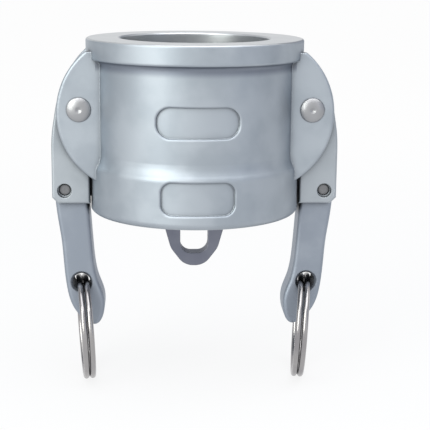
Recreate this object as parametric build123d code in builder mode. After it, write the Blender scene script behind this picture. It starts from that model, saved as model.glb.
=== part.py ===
from build123d import *
import os
from math import cos, radians, sin, sqrt

# Stainless cam and groove dust cap for a 1 inch adapter, with two self-locking cam arms.
# Sizes are in millimetres. The origin is the centre of the mouth and +Z points out of it.
# The arms stand on the X axis. Arm pieces are drawn for the left side, at -X, then mirrored.

# The male adapter that the cap closes, and the machined bore that takes it
adapter_diameter = 36.7
bore_clearance = 0.3
mouth_chamfer = 0.35
relief_step = 0.25

# The cup: its wall, floor, flange and foot band, and the rims above and below the cam windows
neck_wall = 6.55
floor_thickness = 5.6
flange_step = 1.8
flange_height = 5.0
flange_edge = 0.6
flange_root = 1.15
window_top_rim = 1.4
window_bottom_rim = 1.6
band_step = 1.05
band_height = 11.9
ledge_height = 2.2
ledge_cove = 6.0
ledge_edge = 2.5
foot_radius = 1.6

# The flat gasket in its groove at the bottom of the cup
gasket_overhang = 1.5
gasket_width = 6.35
gasket_thickness = 6.35
gasket_side_clearance = 0.15
gasket_top_clearance = 0.25
gasket_edge = 0.5

# The ears that carry each arm, and the main pin through them
pivot_stand_off = 9.75
pivot_depth = 16.8
ear_radius = 19.3
ear_reach = 5.5
ear_top_depth = 3.0
ear_drop = 1.0
ear_thickness = 3.5
ear_edge = 0.7
ear_root_depth = 4.5
pin_diameter = 4.8
pin_head_overhang = 0.55
pin_head_height = 0.9
pin_head_rim = 0.2
pin_dimple_diameter = 1.6
pin_dimple_depth = 0.35

# The cam head of each arm
head_width = 12.2
head_side_clearance = 0.2
running_clearance = 0.06
sweep_clearance = 0.3
hub_radius = 6.0
cam_reach = 12.4
cam_nose_radius = 4.5
head_face_inset = 2.4
head_back = 7.1
head_foot = 3.3
head_toe = 1.5
head_edge = 0.6
throat_rise = 0.4
throat_fillet = 2.0
web_thickness = 2.2
web_length = 10.2
channel_top = 7.0
channel_fillet = 1.5

# The lock lever, its pin and its catch on the cap
lever_width = 8.0
lever_side_clearance = 0.15
lever_pivot_out = 4.0
lever_pivot_below_cam = 8.3
lever_pin_diameter = 3.0
lever_pin_chamfer = 0.2
lever_pin_recess_rim = 0.3
lever_pin_recess = 1.4
boss_wall = 1.2
lever_edge = 1.0
ring_hole_in = 3.75
ring_hole_down = 24.0
ring_hole_clearance = 0.23
ring_hole_chamfer = 0.6
tooth_thickness = 1.2
tooth_height = 1.4
tooth_rise = 0.25
catch_width = 6.6
catch_height = 1.6
catch_root = 1.5
catch_edge = 0.8
catch_lip_drop = 0.8
catch_lip_thickness = 0.9
lip_outset = 3.5
catch_gap = 0.1
tooth_gap = 0.15
arm_flat_gap = 0.12

# The torsion spring round the lever pin
spring_wire = 0.7
spring_pin_clearance = 0.35
spring_turn_gap = 0.1
spring_turns = 3
spring_slot_clearance = 0.2
spring_coil_clearance = 0.75
spring_hole_clearance = 0.07
spring_hole_depth = 2.0
spring_end_gap = 0.3
spring_lower_leg = 7.0

# The split pull ring, two turns of round wire that cross over once
ring_outer_diameter = 27.3
ring_wire = 1.5
ring_turn_gap = 0.1
ring_seat_clearance = 0.1
ring_jog_angle = 42.0
ring_jog_centre = 20.0
ring_yaw = 6.0
ring_tilt = 3.0

# The chain lug under the cup
lug_thickness = 4.5
lug_top_width = 17.5
lug_waist_width = 12.0
lug_waist_drop = 9.8
lug_waist_fillet = 5.0
lug_end_width = 5.0
lug_drop = 14.4
lug_end_fillet = 4.5
lug_eye_width = 7.1
lug_eye_height = 9.3
lug_eye_drop = 1.9
lug_eye_fillet = 2.7

# The two plain recessed panels on the front
upper_panel_width = 19.3
upper_panel_height = 7.3
upper_panel_corner = 3.3
upper_panel_drop = 1.35
lower_panel_width = 17.2
lower_panel_height = 7.8
lower_panel_corner = 2.5
lower_panel_rise = 7.4
panel_depth = 0.7
panel_edge = 0.45

# Heights and radii that follow from the sizes above
bore_radius = adapter_diameter / 2 + bore_clearance
relief_radius = bore_radius + relief_step
neck_radius = bore_radius + neck_wall
flange_radius = neck_radius + flange_step
band_radius = neck_radius + band_step
gasket_outer_radius = adapter_diameter / 2 + gasket_overhang
gasket_inner_radius = gasket_outer_radius - gasket_width
groove_radius = gasket_outer_radius + gasket_side_clearance
pivot_x = bore_radius + pivot_stand_off
pivot_z = -pivot_depth
window_top_z = pivot_z + hub_radius + sweep_clearance
window_bottom_z = pivot_z - cam_reach - sweep_clearance
land_end_z = window_top_z + window_top_rim
groove_top_z = window_bottom_z - window_bottom_rim
cup_floor_z = groove_top_z - gasket_top_clearance - gasket_thickness
cup_bottom_z = cup_floor_z - floor_thickness
ledge_bottom_z = cup_bottom_z + band_height
ledge_top_z = ledge_bottom_z + ledge_height
ear_inner_y = head_width / 2 + head_side_clearance
ear_outer_y = ear_inner_y + ear_thickness
ear_tip_x = pivot_x + ear_reach
pin_radius = pin_diameter / 2
lever_pin_radius = lever_pin_diameter / 2
boss_radius = lever_pin_radius + boss_wall
channel_half_width = lever_width / 2 + lever_side_clearance
lever_pivot_down = cam_reach + lever_pivot_below_cam
lever_pivot_x = -pivot_x - lever_pivot_out
lever_pivot_z = pivot_z - lever_pivot_down
head_length = lever_pivot_down + head_foot
head_face_x = -pivot_x + head_face_inset
flat_x = head_face_x + arm_flat_gap
tooth_top = boss_radius + tooth_rise
lip_x = lever_pivot_x + lip_outset
tooth_outer_x = lip_outset + catch_lip_thickness + catch_gap
catch_bottom_z = lever_pivot_z + tooth_top + tooth_gap + catch_lip_drop
spring_mean_radius = lever_pin_radius + spring_pin_clearance + spring_wire / 2
spring_pitch = spring_wire + spring_turn_gap
spring_leg_x = lever_pivot_x + spring_mean_radius
spring_leg_y = spring_pitch * spring_turns / 2
ring_radius = (ring_outer_diameter - ring_wire) / 2
turn_offset = (ring_wire + ring_turn_gap) / 2
wire_spread = turn_offset + lever_width / 2 * sin(radians(ring_yaw))
ring_hole_radius = wire_spread + ring_wire / 2 + ring_hole_clearance

# Planes seen from the front, with x to the right and y up, at the two pins of the left arm
pin_plane = Plane(origin=(-pivot_x, 0, pivot_z), x_dir=(1, 0, 0), z_dir=(0, -1, 0))
lever_plane = Plane(origin=(lever_pivot_x, 0, lever_pivot_z), x_dir=(1, 0, 0), z_dir=(0, -1, 0))

os.makedirs("parts", exist_ok=True)


def corner_at(x, y):
    """The corner of the sketch in hand that lies nearest to a point of its plane."""
    return vertices().sort_by_distance((x, y, 0))[0]


# Recessed panel cutters: rounded bars, hollowed so that each panel floor follows the cup
with BuildPart() as upper_panel_cutter:
    with BuildSketch(Plane.XZ):
        with Locations((0, pivot_z - upper_panel_drop)):
            RectangleRounded(upper_panel_width, upper_panel_height, upper_panel_corner)
    extrude(amount=2 * neck_radius)
    Cylinder(neck_radius - panel_depth, -2 * cup_bottom_z, mode=Mode.SUBTRACT)

with BuildPart() as lower_panel_cutter:
    with BuildSketch(Plane.XZ):
        with Locations((0, cup_bottom_z + lower_panel_rise)):
            RectangleRounded(lower_panel_width, lower_panel_height, lower_panel_corner)
    extrude(amount=2 * band_radius)
    Cylinder(band_radius - panel_depth, -4 * cup_bottom_z, mode=Mode.SUBTRACT)

# Ears: four round-edged plates, one pair for each arm
with BuildPart() as ears:
    ear_buried_x = neck_radius - ear_root_depth
    with BuildSketch(Plane.XZ.offset(ear_inner_y)):
        with Locations((ear_radius - ear_tip_x, pivot_z - ear_drop)):
            Circle(ear_radius)
        with Locations((-(ear_buried_x + ear_tip_x) / 2, (cup_bottom_z - ear_top_depth) / 2)):
            Rectangle(ear_tip_x - ear_buried_x, -cup_bottom_z - ear_top_depth, mode=Mode.INTERSECT)
    extrude(amount=ear_thickness)
    fillet(ears.edges().filter_by(GeomType.CIRCLE), radius=ear_edge)
    mirror(about=Plane.YZ)
    mirror(about=Plane.XZ)

# Cap body: the cup with its flange, ears and catches
with BuildPart() as cap_body:
    with BuildSketch(Plane.XZ):
        with BuildLine():
            Polyline(
                (0, 0),
                (flange_radius, 0),
                (flange_radius, -flange_height),
                (neck_radius, -flange_height),
                (neck_radius, ledge_top_z),
                (band_radius, ledge_bottom_z),
                (band_radius, cup_bottom_z),
                (0, cup_bottom_z),
                close=True,
            )
        make_face()
        fillet(corner_at(flange_radius, 0), radius=flange_edge)
        fillet(corner_at(flange_radius, -flange_height), radius=flange_edge)
        fillet(corner_at(neck_radius, -flange_height), radius=flange_root)
        fillet(corner_at(neck_radius, ledge_top_z), radius=ledge_cove)
        fillet(corner_at(band_radius, ledge_bottom_z), radius=ledge_edge)
        fillet(corner_at(band_radius, cup_bottom_z), radius=foot_radius)
    revolve(axis=Axis.Z)

    add(ears.part)

    # The mouth, the relieved chamber below it and the gasket groove
    with BuildSketch(Plane.XZ):
        with BuildLine():
            Polyline(
                (0, 1),
                (bore_radius + mouth_chamfer + 1, 1),
                (bore_radius, -mouth_chamfer),
                (bore_radius, land_end_z),
                (relief_radius, land_end_z - relief_step),
                (relief_radius, groove_top_z),
                (groove_radius, groove_top_z),
                (groove_radius, cup_floor_z),
                (0, cup_floor_z),
                close=True,
            )
        make_face()
    revolve(axis=Axis.Z, mode=Mode.SUBTRACT)

    # Windows for the cam noses, and flats behind the closed arms
    window_height = window_top_z - window_bottom_z
    window_z = (window_top_z + window_bottom_z) / 2
    with Locations((-band_radius, 0, window_z), (band_radius, 0, window_z)):
        Box(band_radius, 2 * ear_inner_y, window_height, mode=Mode.SUBTRACT)
    flat_height = window_bottom_z - cup_bottom_z
    flat_z = (window_bottom_z + cup_bottom_z) / 2
    with Locations((flat_x - band_radius / 2, 0, flat_z), (-flat_x + band_radius / 2, 0, flat_z)):
        Box(band_radius, 2 * ear_inner_y, flat_height, mode=Mode.SUBTRACT)

    # Catches for the lock levers, each with a lip that turns down
    with BuildSketch(Plane.XZ):
        with BuildLine():
            Polyline(
                (flat_x + catch_root, catch_bottom_z + catch_height),
                (lip_x, catch_bottom_z + catch_height),
                (lip_x, catch_bottom_z - catch_lip_drop),
                (lip_x + catch_lip_thickness, catch_bottom_z - catch_lip_drop),
                (lip_x + catch_lip_thickness, catch_bottom_z),
                (flat_x + catch_root, catch_bottom_z),
                close=True,
            )
        make_face()
        fillet(corner_at(lip_x, catch_bottom_z + catch_height), radius=catch_edge)
        mirror(about=Plane.YZ)
    extrude(amount=catch_width / 2, both=True)

    # Holes for the main pins
    with BuildSketch(Plane.XZ):
        with Locations((-pivot_x, pivot_z), (pivot_x, pivot_z)):
            Circle(pin_radius)
    extrude(amount=2 * ear_outer_y, both=True, mode=Mode.SUBTRACT)

    # The panels, with rounded rims
    for cutter, outer_radius in ((upper_panel_cutter, neck_radius), (lower_panel_cutter, band_radius)):
        add(cutter.part, mode=Mode.SUBTRACT)
        rim = [
            edge
            for edge in cap_body.edges(Select.LAST)
            if abs(Vector(edge.center().X, edge.center().Y, 0).length - outer_radius) < panel_depth / 2
        ]
        fillet(rim, radius=panel_edge)
cap_body.part.label = "cap_body"
export_step(cap_body.part, "parts/cap_body.step")

# Chain lug: a flat rounded plate with an eye, standing on the cup's underside
with BuildPart() as cap_lug:
    with BuildSketch(Plane.XZ):
        with BuildLine():
            Polyline(
                (0, cup_bottom_z),
                (lug_top_width / 2, cup_bottom_z),
                (lug_waist_width / 2, cup_bottom_z - lug_waist_drop),
                (lug_end_width / 2, cup_bottom_z - lug_drop),
                (0, cup_bottom_z - lug_drop),
                close=True,
            )
        make_face()
        fillet(corner_at(lug_waist_width / 2, cup_bottom_z - lug_waist_drop), radius=lug_waist_fillet)
        fillet(corner_at(lug_end_width / 2, cup_bottom_z - lug_drop), radius=lug_end_fillet)
        mirror(about=Plane.YZ)
        with Locations((0, cup_bottom_z - lug_eye_drop - lug_eye_height / 2)):
            RectangleRounded(lug_eye_width, lug_eye_height, lug_eye_fillet, mode=Mode.SUBTRACT)
    extrude(amount=lug_thickness / 2, both=True)
cap_lug.part.label = "cap_lug"
export_step(cap_lug.part, "parts/cap_lug.step")

# Gasket: a flat ring held under the groove's lip
with BuildPart() as gasket:
    with BuildSketch(Plane.XZ):
        with Locations((gasket_inner_radius + gasket_width / 2, cup_floor_z + gasket_thickness / 2)):
            Rectangle(gasket_width, gasket_thickness)
        chamfer(vertices(), length=gasket_edge)
    revolve(axis=Axis.Z)
gasket.part.label = "gasket"
export_step(gasket.part, "parts/gasket.step")

# Main pin: a plain shank with two domed, peened heads, each with a small dimple
with BuildPart() as cam_pin:
    with BuildSketch(pin_plane):
        Circle(pin_radius)
    extrude(amount=ear_outer_y, both=True)
    with BuildSketch(Plane(origin=(-pivot_x, 0, pivot_z), x_dir=(0, -1, 0), z_dir=(1, 0, 0))):
        with BuildLine():
            pin_head_radius = pin_radius + pin_head_overhang
            head_top = ear_outer_y + pin_head_height
            rim_point = (ear_outer_y + pin_head_rim, pin_head_radius)
            shoulder_point = (ear_outer_y + 0.75 * pin_head_height, 0.68 * pin_head_radius)
            crown_point = (head_top, pin_dimple_diameter / 2)
            Polyline((ear_outer_y, 0), (ear_outer_y, pin_head_radius), rim_point)
            ThreePointArc(rim_point, shoulder_point, crown_point)
            Polyline(crown_point, (head_top - pin_dimple_depth, 0), (ear_outer_y, 0))
        make_face()
        mirror(about=Plane.YZ)
    revolve(axis=Axis((-pivot_x, 0, pivot_z), (0, 1, 0)))
cam_pin.part.label = "left_cam_pin"
export_step(cam_pin.part, "parts/left_cam_pin.step")

# Cam head: hub and nose between the ears, and below them two cheeks joined by an outer web
with BuildPart() as cam_head:
    nose_x = cam_reach - cam_nose_radius
    lean = (hub_radius - cam_nose_radius) / nose_x
    rise = sqrt(1 - lean**2)
    hub_tangent = (hub_radius * lean, hub_radius * rise)
    nose_tangent = (nose_x + cam_nose_radius * lean, cam_nose_radius * rise)
    hub_shoulder = (-hub_radius * sin(radians(45)), hub_radius * cos(radians(45)))
    hub_crown = (-hub_radius * sin(radians(17)), hub_radius * cos(radians(17)))
    throat_z = -hub_radius + throat_rise
    with BuildSketch(pin_plane.offset(-head_width / 2)):
        with BuildLine():
            Line(hub_tangent, nose_tangent)
            ThreePointArc(nose_tangent, (cam_reach, 0), (nose_tangent[0], -nose_tangent[1]))
            Polyline(
                (nose_tangent[0], -nose_tangent[1]),
                (head_face_inset, throat_z),
                (head_face_inset, -head_length),
                (-head_back + head_toe, -head_length),
                (-head_back, -head_length + head_toe),
            )
            Spline(
                (-head_back, -head_length + head_toe),
                (-head_back, -0.55 * head_length),
                (-0.97 * head_back, -1.05 * hub_radius),
                (-0.88 * head_back, -0.35 * hub_radius),
                hub_shoulder,
                tangents=((0, 1), (0.707, 0.707)),
            )
            ThreePointArc(hub_shoulder, hub_crown, hub_tangent)
        make_face()
        fillet(corner_at(head_face_inset, throat_z), radius=throat_fillet)
    extrude(amount=head_width)
    fillet(cam_head.faces().sort_by(Axis.Y)[0].edges(), radius=head_edge)
    fillet(cam_head.faces().sort_by(Axis.Y)[-1].edges(), radius=head_edge)

    # Channel for the lock lever, open on the inside and at the bottom
    web_x = -head_back + web_thickness
    web_end_z = -channel_top - web_length
    with BuildSketch(pin_plane):
        with BuildLine():
            Polyline(
                (head_face_inset + 1, -channel_top),
                (web_x, -channel_top),
                (web_x, web_end_z),
                (-head_back - 1, web_end_z),
                (-head_back - 1, -head_length - 1),
                (head_face_inset + 1, -head_length - 1),
                close=True,
            )
        make_face()
        fillet(corner_at(web_x, -channel_top), radius=channel_fillet)
    extrude(amount=channel_half_width, both=True, mode=Mode.SUBTRACT)

    # Bores for the main pin and the lever pin, with the lever pin's recesses
    with BuildSketch(pin_plane):
        Circle(pin_radius + running_clearance)
    extrude(amount=head_width, both=True, mode=Mode.SUBTRACT)
    with BuildSketch(lever_plane):
        Circle(lever_pin_radius)
    extrude(amount=head_width, both=True, mode=Mode.SUBTRACT)
    for start_y in (head_width / 2 - lever_pin_recess, -head_width / 2):
        with BuildSketch(lever_plane.offset(start_y)):
            Circle(lever_pin_radius + lever_pin_recess_rim)
        extrude(amount=lever_pin_recess, mode=Mode.SUBTRACT)

    # Blind hole in the channel's roof for the spring's upper leg
    roof_z = pivot_z - channel_top
    with BuildSketch(Plane.XY.offset(roof_z - 1)):
        with Locations((spring_leg_x, spring_leg_y)):
            Circle(spring_wire / 2 + spring_hole_clearance)
    extrude(amount=1 + spring_hole_depth, mode=Mode.SUBTRACT)
cam_head.part.label = "left_cam_head"
export_step(cam_head.part, "parts/left_cam_head.step")

# Lever pin, its ends sunk in the recesses of the cheeks
with BuildPart() as lever_pin:
    with BuildSketch(lever_plane):
        Circle(lever_pin_radius)
    extrude(amount=head_width / 2 - lever_pin_recess, both=True)
    chamfer(lever_pin.edges(), length=lever_pin_chamfer)
lever_pin.part.label = "left_lever_pin"
export_step(lever_pin.part, "parts/left_lever_pin.step")

# Lock lever: a boss on its pin, a tooth under the catch and a tapered handle with a rounded end
with BuildPart() as lock_lever:
    tooth_inner_x = tooth_outer_x + tooth_thickness
    handle_top = -1
    with BuildSketch(lever_plane.offset(-lever_width / 2)):
        with BuildLine():
            handle_outline = Spline(
                (tooth_inner_x, handle_top),
                (6.7, -16.0),
                (8.0, -24.0),
                (9.5, -29.0),
                (7.2, -35.4),
                (3.3, -33.2),
                (0.1, -26.0),
                (-1.1, -13.5),
                (-boss_radius + 0.1, handle_top),
                tangents=((0.06, -1), (-0.06, 1)),
            )
            Line(handle_outline @ 1, handle_outline @ 0)
        make_face()
    extrude(amount=lever_width)
    fillet(lock_lever.edges().filter_by(GeomType.BSPLINE), radius=lever_edge)
    with BuildSketch(lever_plane.offset(-lever_width / 2)):
        Circle(boss_radius)
        with BuildLine():
            Polyline(
                (0, 0),
                (0, 2 * handle_top),
                (tooth_inner_x, 2 * handle_top),
                (tooth_inner_x, tooth_top),
                (tooth_outer_x, tooth_top),
                (tooth_outer_x, tooth_top - tooth_height),
                (0.7 * boss_radius, 0.71 * boss_radius),
                close=True,
            )
        make_face()
    extrude(amount=lever_width)

    # Bore for the lever pin, the spring's slot and the hole for its lower leg
    with BuildSketch(lever_plane.offset(-lever_width)):
        Circle(lever_pin_radius + running_clearance)
    extrude(amount=2 * lever_width, mode=Mode.SUBTRACT)
    slot_half_width = spring_leg_y + spring_wire / 2 + spring_slot_clearance
    with BuildSketch(lever_plane.offset(-slot_half_width)):
        Circle(spring_mean_radius + spring_wire / 2 + spring_coil_clearance)
    extrude(amount=2 * slot_half_width, mode=Mode.SUBTRACT)
    with BuildSketch(Plane.XY.offset(lever_pivot_z)):
        with Locations((spring_leg_x, -spring_leg_y)):
            Circle(spring_wire / 2 + spring_hole_clearance)
    extrude(amount=-spring_lower_leg - spring_end_gap, mode=Mode.SUBTRACT)

    # Hole for the pull ring, with its rims eased
    with BuildSketch(lever_plane.offset(-lever_width)):
        with Locations((ring_hole_in, -ring_hole_down)):
            Circle(ring_hole_radius)
    extrude(amount=2 * lever_width, mode=Mode.SUBTRACT)
    for face_y, inward in ((lever_width / 2, -1), (-lever_width / 2, 1)):
        with BuildSketch(lever_plane.offset(face_y)):
            with Locations((ring_hole_in, -ring_hole_down)):
                Circle(ring_hole_radius + ring_hole_chamfer)
        extrude(amount=inward * ring_hole_chamfer, taper=45, mode=Mode.SUBTRACT)
lock_lever.part.label = "left_lock_lever"
export_step(lock_lever.part, "parts/left_lock_lever.step")

# Torsion spring: three turns round the lever pin, one leg up in the head and one down in the lever
with BuildPart() as spring_wire_form:
    with BuildLine():
        coil = Helix(
            pitch=spring_pitch,
            height=spring_pitch * spring_turns,
            radius=spring_mean_radius,
            center=(0, 0, -spring_leg_y),
            lefthand=True,
        )
        upper_leg_length = lever_pivot_down - channel_top + spring_hole_depth - spring_end_gap
        upper_leg = Line((spring_mean_radius, upper_leg_length, -spring_leg_y), coil @ 0)
        Line(coil @ 1, (spring_mean_radius, -spring_lower_leg, spring_leg_y))
    with BuildSketch(Plane(origin=upper_leg @ 0, z_dir=upper_leg % 0)):
        Circle(spring_wire / 2)
    sweep()

with BuildPart() as lever_spring:
    with Locations(lever_plane.location):
        add(spring_wire_form.part)
lever_spring.part.label = "left_lever_spring"
export_step(lever_spring.part, "parts/left_lever_spring.step")

# Split pull ring: two flat turns side by side, joined by one short crossing
seat_reach = ring_hole_radius - ring_wire / 2 - ring_seat_clearance
ring_drop = sqrt(ring_radius**2 - (lever_width / 2) ** 2) + sqrt(seat_reach**2 - wire_spread**2)
tilt = radians(ring_tilt)
yaw = radians(ring_yaw)
ring_up = Vector(-sin(tilt), 0, cos(tilt))
ring_axis = Vector(cos(tilt) * cos(yaw), sin(yaw), sin(tilt) * cos(yaw))
ring_hole_point = Vector(lever_pivot_x + ring_hole_in, 0, lever_pivot_z - ring_hole_down)
ring_plane = Plane(
    origin=ring_hole_point - ring_up * ring_drop,
    x_dir=ring_up.cross(ring_axis),
    z_dir=ring_axis,
)


def ring_point(angle, side):
    """A point of the ring's centre line, side mm from its middle plane."""
    return (ring_radius * cos(radians(angle)), ring_radius * sin(radians(angle)), side)


def ring_direction(angle):
    """The direction of the ring's centre line where it runs flat."""
    return Vector(-sin(radians(angle)), cos(radians(angle)), 0)


with BuildPart() as ring_form:
    start = ring_jog_centre + ring_jog_angle / 2
    flat_turn = 360 - ring_jog_angle
    half_way = start + flat_turn / 2
    turn_end = start + flat_turn
    middle = ring_jog_centre + 360
    with BuildLine():
        first_turn = ThreePointArc(
            ring_point(start, -turn_offset),
            ring_point(half_way, -turn_offset),
            ring_point(turn_end, -turn_offset),
        )
        TangentArc(
            ring_point(turn_end, -turn_offset),
            ring_point(middle, 0),
            tangent=ring_direction(turn_end),
        )
        TangentArc(
            ring_point(start, turn_offset),
            ring_point(middle, 0),
            tangent=-ring_direction(start),
        )
        ThreePointArc(
            ring_point(start, turn_offset),
            ring_point(half_way, turn_offset),
            ring_point(turn_end, turn_offset),
        )
    with BuildSketch(Plane(origin=first_turn @ 0, z_dir=first_turn % 0)):
        Circle(ring_wire / 2)
    sweep()

with BuildPart() as pull_ring:
    with Locations(ring_plane.location):
        add(ring_form.part)
pull_ring.part.label = "left_pull_ring"
export_step(pull_ring.part, "parts/left_pull_ring.step")

# The right arm is the left arm mirrored, piece by piece
for left_piece in (cam_pin, cam_head, lever_pin, lock_lever, lever_spring, pull_ring):
    with BuildPart() as right_piece:
        mirror(left_piece.part, about=Plane.YZ)
    right_piece.part.label = left_piece.part.label.replace("left", "right")
    export_step(right_piece.part, f"parts/{right_piece.part.label}.step")
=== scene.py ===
import bmesh
import bpy
from math import pi, radians
from mathutils import Matrix, Vector


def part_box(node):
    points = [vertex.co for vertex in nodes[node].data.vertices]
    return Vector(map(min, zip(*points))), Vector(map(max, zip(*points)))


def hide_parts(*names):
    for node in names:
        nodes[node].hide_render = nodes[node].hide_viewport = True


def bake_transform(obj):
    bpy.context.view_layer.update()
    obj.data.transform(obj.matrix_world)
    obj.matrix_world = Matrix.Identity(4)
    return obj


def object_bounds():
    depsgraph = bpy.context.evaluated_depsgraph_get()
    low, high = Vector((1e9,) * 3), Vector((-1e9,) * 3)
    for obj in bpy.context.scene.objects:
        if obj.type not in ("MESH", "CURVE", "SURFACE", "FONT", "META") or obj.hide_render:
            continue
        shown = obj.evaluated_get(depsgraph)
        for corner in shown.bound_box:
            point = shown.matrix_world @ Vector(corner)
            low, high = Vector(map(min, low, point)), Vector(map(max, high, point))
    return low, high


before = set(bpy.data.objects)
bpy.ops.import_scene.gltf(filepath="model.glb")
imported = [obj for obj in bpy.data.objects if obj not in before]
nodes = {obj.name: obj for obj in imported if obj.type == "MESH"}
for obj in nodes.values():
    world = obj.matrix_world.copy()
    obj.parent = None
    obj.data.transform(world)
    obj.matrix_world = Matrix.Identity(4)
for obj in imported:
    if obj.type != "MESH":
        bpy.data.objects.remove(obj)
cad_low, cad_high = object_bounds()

# The scene is in metres and the object's own small sizes are easier in millimetres
mm = 0.001

scene = bpy.context.scene

# Camera: close by, a little to the left and looking down, as the photograph's perspective shows
camera_place = Vector((-10.8, -298.5, 20.3)) * mm
camera_yaw = radians(3.10)
camera_pitch = radians(12.33)
camera_roll = radians(0.53)
camera_lens = 100.1
sensor_width = 36.0
camera_near = 0.02
camera_far = 20

# Floor: just under the object, and a little less white near it, so that its shadow stays in sight
floor_gap = 0.3 * mm
floor_reach = 3.0
floor_colour = (0.75, 0.76, 0.78, 1)
floor_white = (0.87, 0.97)
floor_fade = (0.05, 0.45)

# Studio: a white background, a cool grey light all round, and the point that lamps and cards face
white = (1, 1, 1, 1)
world_grey = (0.86, 0.92, 1.0, 1)
world_level = 0.55
aim = Vector((0, 0, -35 * mm))

# Cast skin: the height of its lumps, the scales of its three noises, and the grain's share of the height
lump_height = 18e-6
grain_scale = 2600.0
lump_scale = 420.0
cloud_scale = 90.0
grain_share = 0.35

# Where the clouds of tone change colour and roughness, and how far the roughness goes either way
tone_change = (0.35, 0.65)
rough_change = (0.3, 0.7)
rough_below = 0.03
rough_above = 0.04

# Rubbed edges: how far in they reach, how much the surface turns there, and how much smoother they are
edge_radius = 0.35 * mm
edge_turn = (0.80, 0.99)
edge_polish = 0.08

# Painted shade in crevices: the share of open sky over which it goes from full to none
crevice_sky = (0.45, 0.90)

# Rays for each of the edge and crevice masks
mask_samples = 6

# The cup's machined faces: its bore, inside this radius and above its floor, and the rim's top face
bore_reach = 18.9 * mm
bore_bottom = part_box("cap_lug")[1].z + 1.0 * mm
rim_height = -0.25 * mm
tool_pitch = 0.22 * mm
tool_mark_share = 0.5
turned_polish = 0.14

# Painted shade in the corner under the flange, from the flange's underside down to the plain neck
flange_bottom = -4.7 * mm
root_shade_full = -6.2 * mm
root_shade_gone = -8.0 * mm
root_reach = 26.2 * mm
root_shade_strength = 0.54
root_shade_tone = (0.105, 0.12, 0.175, 1)

# Rubber: its skin's strength, and its roughness from the first tone to the second
rubber_bump = 0.6
rubber_roughness = (0.56, 0.68)

# How near two corners of the spring's mesh are welded, and the angle from which its edges stay sharp
weld_distance = 0.001 * mm
sharp_angle = radians(40)


def make_camera():
    data = bpy.data.cameras.new("camera")
    data.lens = camera_lens
    data.sensor_width = sensor_width
    data.clip_start = camera_near
    data.clip_end = camera_far
    camera = bpy.data.objects.new("camera", data)
    aim_right = Matrix.Rotation(-camera_yaw, 4, "Z")
    aim_down = Matrix.Rotation(pi / 2 - camera_pitch, 4, "X")
    roll = Matrix.Rotation(camera_roll, 4, "Z")
    camera.matrix_world = Matrix.Translation(camera_place) @ aim_right @ aim_down @ roll
    scene.collection.objects.link(camera)
    scene.camera = camera


def add(tree, kind, values=None, **settings):
    """A new node, with its settings and the values of its named inputs."""
    node = tree.nodes.new(kind)
    for key, value in settings.items():
        setattr(node, key, value)
    for key, value in (values or {}).items():
        node.inputs[key].default_value = value
    return node


def feed(tree, socket, value):
    """Joins an input to a socket, or gives it a plain value."""
    if hasattr(value, "is_linked"):
        tree.links.new(value, socket)
    else:
        socket.default_value = value


def math_node(tree, operation, *values):
    """A Math node's output, fed by sockets or numbers."""
    node = add(tree, "ShaderNodeMath", operation=operation)
    for index, value in enumerate(values):
        feed(tree, node.inputs[index], value)
    return node.outputs[0]


def range_node(tree, value, low, high, to_low=0.0, to_high=1.0):
    """A smooth Map Range from low..high to to_low..to_high."""
    limits = {"From Min": low, "From Max": high, "To Min": to_low, "To Max": to_high}
    node = add(tree, "ShaderNodeMapRange", limits, interpolation_type="SMOOTHSTEP")
    tree.links.new(value, node.inputs["Value"])
    return node.outputs["Result"]


def blend_colours(tree, factor, first, second):
    """A colour Mix node's output. Its colour inputs go by number, because their names repeat."""
    node = add(tree, "ShaderNodeMix", data_type="RGBA")
    for index, value in ((0, factor), (6, first), (7, second)):
        feed(tree, node.inputs[index], value)
    return node.outputs[2]


def new_group(name, inputs, outputs):
    """A shader node group with named sockets, and its two end nodes."""
    group = bpy.data.node_groups.new(name, "ShaderNodeTree")
    for socket_name, kind, value in inputs:
        socket = group.interface.new_socket(name=socket_name, in_out="INPUT", socket_type=kind)
        if value is not None:
            socket.default_value = value
    for socket_name, kind in outputs:
        group.interface.new_socket(name=socket_name, in_out="OUTPUT", socket_type=kind)
    start = group.nodes.new("NodeGroupInput")
    end = group.nodes.new("NodeGroupOutput")
    return group, start, end


def use_group(tree, group, **values):
    """A group placed in a material, with its named inputs fed by sockets or numbers."""
    node = add(tree, "ShaderNodeGroup", node_tree=group)
    for name, value in values.items():
        feed(tree, node.inputs[name], value)
    return node


def make_cast_skin():
    """Blasted investment casting: fine grain, soft lumps and large soft clouds of tone."""
    group, start, end = new_group(
        "cast_skin",
        (
            ("Place", "NodeSocketVector", None),
            ("Grain", "NodeSocketFloat", grain_scale),
            ("Lumps", "NodeSocketFloat", lump_scale),
        ),
        (("Height", "NodeSocketFloat"), ("Tone", "NodeSocketFloat")),
    )
    link = group.links.new
    grain = add(group, "ShaderNodeTexNoise", {"Detail": 3.0, "Roughness": 0.6})
    lumps = add(group, "ShaderNodeTexNoise", {"Detail": 2.0, "Roughness": 0.5})
    cloud = add(group, "ShaderNodeTexNoise", {"Scale": cloud_scale, "Detail": 3.0, "Roughness": 0.55})
    for texture, scale_name in ((grain, "Grain"), (lumps, "Lumps")):
        link(start.outputs["Place"], texture.inputs["Vector"])
        link(start.outputs[scale_name], texture.inputs["Scale"])
    link(start.outputs["Place"], cloud.inputs["Vector"])
    fine = math_node(group, "MULTIPLY", grain.outputs["Fac"], grain_share)
    link(math_node(group, "ADD", fine, lumps.outputs["Fac"]), end.inputs["Height"])
    link(cloud.outputs["Fac"], end.inputs["Tone"])
    return group


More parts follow.
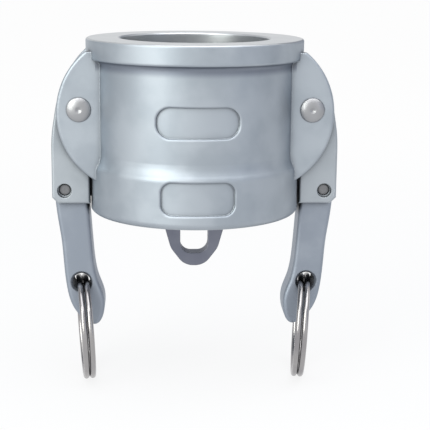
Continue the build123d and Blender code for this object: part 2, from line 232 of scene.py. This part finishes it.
def make_edge_finder():
    """A mask that is high along sharp edges, and a normal that rounds them."""
    group, start, end = new_group(
        "edge_finder",
        (("Radius", "NodeSocketFloat", edge_radius),),
        (("Edge", "NodeSocketFloat"), ("Normal", "NodeSocketVector")),
    )
    link = group.links.new
    bevel = add(group, "ShaderNodeBevel", samples=mask_samples)
    link(start.outputs["Radius"], bevel.inputs["Radius"])
    geometry = add(group, "ShaderNodeNewGeometry")
    turn = add(group, "ShaderNodeVectorMath", operation="DOT_PRODUCT")
    link(bevel.outputs["Normal"], turn.inputs[0])
    link(geometry.outputs["Normal"], turn.inputs[1])
    link(range_node(group, turn.outputs["Value"], *edge_turn, 1.0, 0.0), end.inputs["Edge"])
    link(bevel.outputs["Normal"], end.inputs["Normal"])
    return group


def make_crevice_finder():
    """A mask that is high in corners and narrow gaps, where shade is painted in."""
    group, start, end = new_group(
        "crevice_finder",
        (("Depth", "NodeSocketFloat", 2.0 * mm),),
        (("Crevice", "NodeSocketFloat"),),
    )
    link = group.links.new
    sky = add(group, "ShaderNodeAmbientOcclusion", samples=mask_samples)
    link(start.outputs["Depth"], sky.inputs["Distance"])
    link(range_node(group, sky.outputs["AO"], *crevice_sky, 1.0, 0.0), end.inputs["Crevice"])
    return group


def make_turned_lines():
    """The cup's tool marks as a height, with masks for its turned faces and for painted shade under the
    flange.
    """
    group, start, end = new_group(
        "turned_lines",
        (("Place", "NodeSocketVector", None), ("Pitch", "NodeSocketFloat", tool_pitch)),
        (("Height", "NodeSocketFloat"), ("Turned", "NodeSocketFloat"), ("RootShade", "NodeSocketFloat")),
    )
    link = group.links.new
    parts = add(group, "ShaderNodeSeparateXYZ")
    link(start.outputs["Place"], parts.inputs[0])
    x, y, z = parts.outputs
    x_squared = math_node(group, "MULTIPLY", x, x)
    y_squared = math_node(group, "MULTIPLY", y, y)
    radius = math_node(group, "SQRT", math_node(group, "ADD", x_squared, y_squared))

    # The tool travels along a flat face or up a wall, and leaves about one mark for each pitch
    travel = math_node(group, "ADD", radius, z)
    rows = add(group, "ShaderNodeTexNoise", {"Scale": 1.0, "Detail": 1.0}, noise_dimensions="1D")
    link(math_node(group, "DIVIDE", travel, start.outputs["Pitch"]), rows.inputs["W"])
    link(rows.outputs["Fac"], end.inputs["Height"])

    in_reach = math_node(group, "LESS_THAN", radius, bore_reach)
    over_floor = math_node(group, "GREATER_THAN", z, bore_bottom)
    in_bore = math_node(group, "MULTIPLY", in_reach, over_floor)
    on_rim = math_node(group, "GREATER_THAN", z, rim_height)
    link(math_node(group, "MAXIMUM", in_bore, on_rim), end.inputs["Turned"])

    # Painted shade under the flange: full just below its underside, fading out lower down the neck
    root_shade = range_node(group, z, root_shade_gone, root_shade_full)
    under_flange = math_node(group, "LESS_THAN", z, flange_bottom)
    near_neck = math_node(group, "LESS_THAN", radius, root_reach)
    out_of_bore = math_node(group, "GREATER_THAN", radius, bore_reach)
    for limit in (under_flange, near_neck, out_of_bore):
        root_shade = math_node(group, "MULTIPLY", root_shade, limit)
    link(root_shade, end.inputs["RootShade"])
    return group


cast_skin = make_cast_skin()
edge_finder = make_edge_finder()
crevice_finder = make_crevice_finder()
turned_lines = make_turned_lines()


def empty_tree(holder):
    """The cleared node tree of a material or of the world."""
    holder.use_nodes = True
    holder.node_tree.nodes.clear()
    return holder.node_tree


def show(tree, shader, output_kind="ShaderNodeOutputMaterial"):
    """Joins the last shader to the tree's output."""
    output = add(tree, output_kind)
    tree.links.new(shader.outputs[0], output.inputs["Surface"])


def new_material(name):
    """An empty material with its Principled BSDF joined to the output."""
    material = bpy.data.materials.new(name)
    tree = empty_tree(material)
    shader = add(tree, "ShaderNodeBsdfPrincipled")
    show(tree, shader)
    return material, tree, shader


def turn_cup_faces(tree, place, turned, colour, rough, height):
    """Turned bore and rim, and painted shade under the flange, over the cup's cast colour, roughness and
    height.
    """
    lathe = use_group(tree, turned_lines, Place=place)
    mask = lathe.outputs["Turned"]
    colour = blend_colours(tree, mask, colour, turned)
    # Painted shade: the colour darkens towards a dark blue grey under the flange
    painted_shade = math_node(tree, "MULTIPLY", lathe.outputs["RootShade"], root_shade_strength)
    colour = blend_colours(tree, painted_shade, colour, root_shade_tone)
    rough = math_node(tree, "SUBTRACT", rough, math_node(tree, "MULTIPLY", mask, turned_polish))
    lines = math_node(tree, "MULTIPLY", lathe.outputs["Height"], mask)
    blasted = math_node(tree, "MULTIPLY", height, math_node(tree, "SUBTRACT", 1.0, mask))
    height = math_node(tree, "ADD", blasted, math_node(tree, "MULTIPLY", lines, tool_mark_share))
    return colour, rough, height


def cast_steel(name, low, high, edge, roughness, crevice_shade_share=0.35, crevice_depth=2.4 * mm, turned=None):
    """Satin stainless steel: two tones of grey under a fine skin, lighter edges and painted shade in
    crevices.
    """
    material, tree, shader = new_material(name)
    link = tree.links.new
    place = add(tree, "ShaderNodeTexCoord").outputs["Object"]
    skin = use_group(tree, cast_skin, Place=place)
    rubbed = use_group(tree, edge_finder, Radius=edge_radius)
    crevice = use_group(tree, crevice_finder, Depth=crevice_depth)

    tone = range_node(tree, skin.outputs["Tone"], *tone_change)
    colour = blend_colours(tree, tone, low, high)
    rough_range = (roughness - rough_below, roughness + rough_above)
    rough = range_node(tree, skin.outputs["Tone"], *rough_change, *rough_range)
    polish = math_node(tree, "MULTIPLY", rubbed.outputs["Edge"], edge_polish)
    rough = math_node(tree, "SUBTRACT", rough, polish)
    height = skin.outputs["Height"]
    if turned:
        colour, rough, height = turn_cup_faces(tree, place, turned, colour, rough, height)
    # Painted shade: crevices darken towards a share of the low tone
    crevice_shade_colour = (*[crevice_shade_share * part for part in low[:3]], 1)
    colour = blend_colours(tree, crevice.outputs["Crevice"], colour, crevice_shade_colour)
    colour = blend_colours(tree, rubbed.outputs["Edge"], colour, edge)

    link(colour, shader.inputs["Base Color"])
    link(rough, shader.inputs["Roughness"])
    bump = add(tree, "ShaderNodeBump", {"Strength": 1.0, "Distance": lump_height})
    link(height, bump.inputs["Height"])
    link(rubbed.outputs["Normal"], bump.inputs["Normal"])
    link(bump.outputs["Normal"], shader.inputs["Normal"])
    shader.inputs["Metallic"].default_value = 1.0
    return material


def moulded_rubber(name, low, high):
    """Matt moulded rubber: two near-black tones and a fine skin."""
    material, tree, shader = new_material(name)
    link = tree.links.new
    place = add(tree, "ShaderNodeTexCoord").outputs["Object"]
    skin = use_group(tree, cast_skin, Place=place)
    tone = range_node(tree, skin.outputs["Tone"], *tone_change)
    link(blend_colours(tree, tone, low, high), shader.inputs["Base Color"])
    link(range_node(tree, tone, 0.0, 1.0, *rubber_roughness), shader.inputs["Roughness"])
    bump = add(tree, "ShaderNodeBump", {"Strength": rubber_bump, "Distance": lump_height})
    link(skin.outputs["Height"], bump.inputs["Height"])
    link(bump.outputs["Normal"], shader.inputs["Normal"])
    return material


def give(material, *names):
    """Puts one material on whole CAD nodes."""
    for name in names:
        slots = nodes[name].data.materials
        slots.clear()
        slots.append(material)


def make_torsion_spring(side, material):
    """The lever's spring as its own welded, smooth-shaded mesh: one leg sits in the cam head and one in the
    lever.
    """
    node_name = f"{side}_lever_spring"
    mesh = nodes[node_name].data.copy()
    mesh.name = f"{side}_torsion_spring"

    # The copy's loose triangles are welded, and its old normals go
    if "custom_normal" in mesh.attributes:
        mesh.attributes.remove(mesh.attributes["custom_normal"])
    wire = bmesh.new()
    wire.from_mesh(mesh)
    bmesh.ops.remove_doubles(wire, verts=wire.verts, dist=weld_distance)
    wire.to_mesh(mesh)
    wire.free()
    mesh.shade_smooth()
    mesh.set_sharp_from_angle(angle=sharp_angle)

    mesh.materials.clear()
    mesh.materials.append(material)
    spring = bpy.data.objects.new(mesh.name, mesh)
    scene.collection.objects.link(spring)
    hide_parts(node_name)
    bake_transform(spring)


def background_rays(tree):
    """High for the rays that look at the background straight, through glass or in a reflection."""
    path = add(tree, "ShaderNodeLightPath")
    straight = math_node(tree, "MAXIMUM", path.outputs["Is Camera Ray"], path.outputs["Is Transmission Ray"])
    return math_node(tree, "MAXIMUM", straight, path.outputs["Is Glossy Ray"])


def mix_shaders(tree, factor, first, second):
    """A Mix Shader node between two shader nodes."""
    mix = add(tree, "ShaderNodeMixShader")
    tree.links.new(factor, mix.inputs[0])
    tree.links.new(first.outputs[0], mix.inputs[1])
    tree.links.new(second.outputs[0], mix.inputs[2])
    return mix


def flat_sheet(name, size, height=0.0):
    """A level rectangle, centred over the origin."""
    ends = ((-1, -1), (1, -1), (1, 1), (-1, 1))
    corners = [(x * size[0] / 2, y * size[1] / 2, height) for x, y in ends]
    mesh = bpy.data.meshes.new(name)
    mesh.from_pydata(corners, [], [(0, 1, 2, 3)])
    sheet = bpy.data.objects.new(name, mesh)
    scene.collection.objects.link(sheet)
    return sheet


def sheet_tree(sheet, name):
    """The empty node tree of a sheet's new material."""
    material = bpy.data.materials.new(name)
    sheet.data.materials.append(material)
    return empty_tree(material)


def make_floor():
    floor = flat_sheet("floor", (2 * floor_reach, 2 * floor_reach), cad_low.z - floor_gap)
    tree = sheet_tree(floor, "pale_floor")
    place = add(tree, "ShaderNodeTexCoord").outputs["Object"]
    distance = add(tree, "ShaderNodeVectorMath", operation="LENGTH")
    tree.links.new(place, distance.inputs[0])
    whiteness = range_node(tree, distance.outputs["Value"], *floor_fade, *floor_white)
    seen = math_node(tree, "MULTIPLY", background_rays(tree), whiteness)
    matt = add(tree, "ShaderNodeBsdfDiffuse", {"Color": floor_colour})
    glow = add(tree, "ShaderNodeEmission", {"Color": white, "Strength": 1.0})
    show(tree, mix_shaders(tree, seen, matt, glow))


def make_world():
    scene.world = bpy.data.worlds.new("studio")
    tree = empty_tree(scene.world)
    ambient = add(tree, "ShaderNodeBackground", {"Color": world_grey, "Strength": world_level})
    plain = add(tree, "ShaderNodeBackground", {"Color": white, "Strength": 1.0})
    show(tree, mix_shaders(tree, background_rays(tree), ambient, plain), "ShaderNodeOutputWorld")


def face_object(thing, place):
    """Puts a lamp or a card at its place, facing the object and hidden from the camera."""
    thing.location = place
    thing.rotation_euler = (aim - Vector(place)).to_track_quat("-Z", "Y").to_euler()
    thing.visible_camera = False


def make_card(name, place, size, grey):
    """A grey studio card that only the object's reflections see."""
    card = flat_sheet(name, size)
    face_object(card, place)
    card.visible_diffuse = False
    card.visible_transmission = False
    card.visible_shadow = False
    tree = sheet_tree(card, name)
    show(tree, add(tree, "ShaderNodeEmission", {"Color": grey, "Strength": 1.0}))


def make_softbox(name, place, size, watts, colour):
    """A rectangular area light that faces the middle of the object."""
    data = bpy.data.lights.new(name, "AREA")
    data.shape = "RECTANGLE"
    data.size, data.size_y = size
    data.energy = watts
    data.color = colour
    light = bpy.data.objects.new(name, data)
    face_object(light, place)
    scene.collection.objects.link(light)


make_camera()

body_steel = cast_steel(
    "cast_body",
    low=(0.355, 0.395, 0.44, 1),
    high=(0.415, 0.455, 0.50, 1),
    edge=(0.45, 0.49, 0.53, 1),
    roughness=0.50,
    crevice_shade_share=0.25,
    crevice_depth=2.6 * mm,
    turned=(0.47, 0.49, 0.51, 1),
)
# The lug's cast steel, painted darker as the shade it hangs in under the cup
shaded_lug_steel = cast_steel(
    "cast_lug_shaded",
    low=(0.17, 0.18, 0.225, 1),
    high=(0.21, 0.22, 0.265, 1),
    edge=(0.28, 0.29, 0.33, 1),
    roughness=0.52,
)
head_steel = cast_steel(
    "cast_head",
    low=(0.36, 0.395, 0.43, 1),
    high=(0.41, 0.445, 0.48, 1),
    edge=(0.45, 0.485, 0.52, 1),
    roughness=0.50,
)
# The levers' cast steel, painted darker than the heads' as the shade on these lower parts
shaded_lever_steel = cast_steel(
    "cast_lever_shaded",
    low=(0.29, 0.325, 0.38, 1),
    high=(0.345, 0.38, 0.435, 1),
    edge=(0.38, 0.415, 0.47, 1),
    roughness=0.50,
)
pin_steel = cast_steel(
    "turned_pin",
    low=(0.33, 0.335, 0.35, 1),
    high=(0.38, 0.385, 0.40, 1),
    edge=(0.40, 0.405, 0.42, 1),
    roughness=0.38,
)
wire_steel = cast_steel(
    "bright_wire",
    low=(0.30, 0.29, 0.30, 1),
    high=(0.38, 0.37, 0.37, 1),
    edge=(0.46, 0.46, 0.46, 1),
    roughness=0.20,
)
gasket_rubber = moulded_rubber(
    "moulded_rubber",
    low=(0.018, 0.018, 0.020, 1),
    high=(0.032, 0.032, 0.034, 1),
)

give(body_steel, "cap_body")
give(shaded_lug_steel, "cap_lug")
give(gasket_rubber, "gasket")
for side in ("left", "right"):
    give(head_steel, f"{side}_cam_head")
    give(shaded_lever_steel, f"{side}_lock_lever")
    give(pin_steel, f"{side}_cam_pin", f"{side}_lever_pin")
    give(wire_steel, f"{side}_pull_ring")
    make_torsion_spring(side, wire_steel)

make_floor()
make_world()
make_card("right_card", (0.80, -0.30, 0.05), size=(0.7, 1.2), grey=(0.40, 0.43, 0.50, 1))
make_card("left_card", (-0.75, 0.35, 0.05), size=(0.5, 1.2), grey=(0.46, 0.48, 0.50, 1))
make_card("back_card", (0.45, 0.75, 0.05), size=(0.5, 1.2), grey=(0.30, 0.32, 0.38, 1))
make_softbox("key_softbox", (-0.48, -0.52, 0.24), size=(0.42, 0.6), watts=3.4, colour=(0.98, 1.0, 0.93))
make_softbox("fill_softbox", (0.6, -0.5, 0.1), size=(0.4, 0.6), watts=0.3, colour=(0.80, 0.86, 1.0))
make_softbox("top_softbox", (0.05, -0.20, 0.60), size=(0.9, 0.6), watts=4.0, colour=(1.0, 1.0, 1.0))

scene.view_settings.view_transform = "Standard"
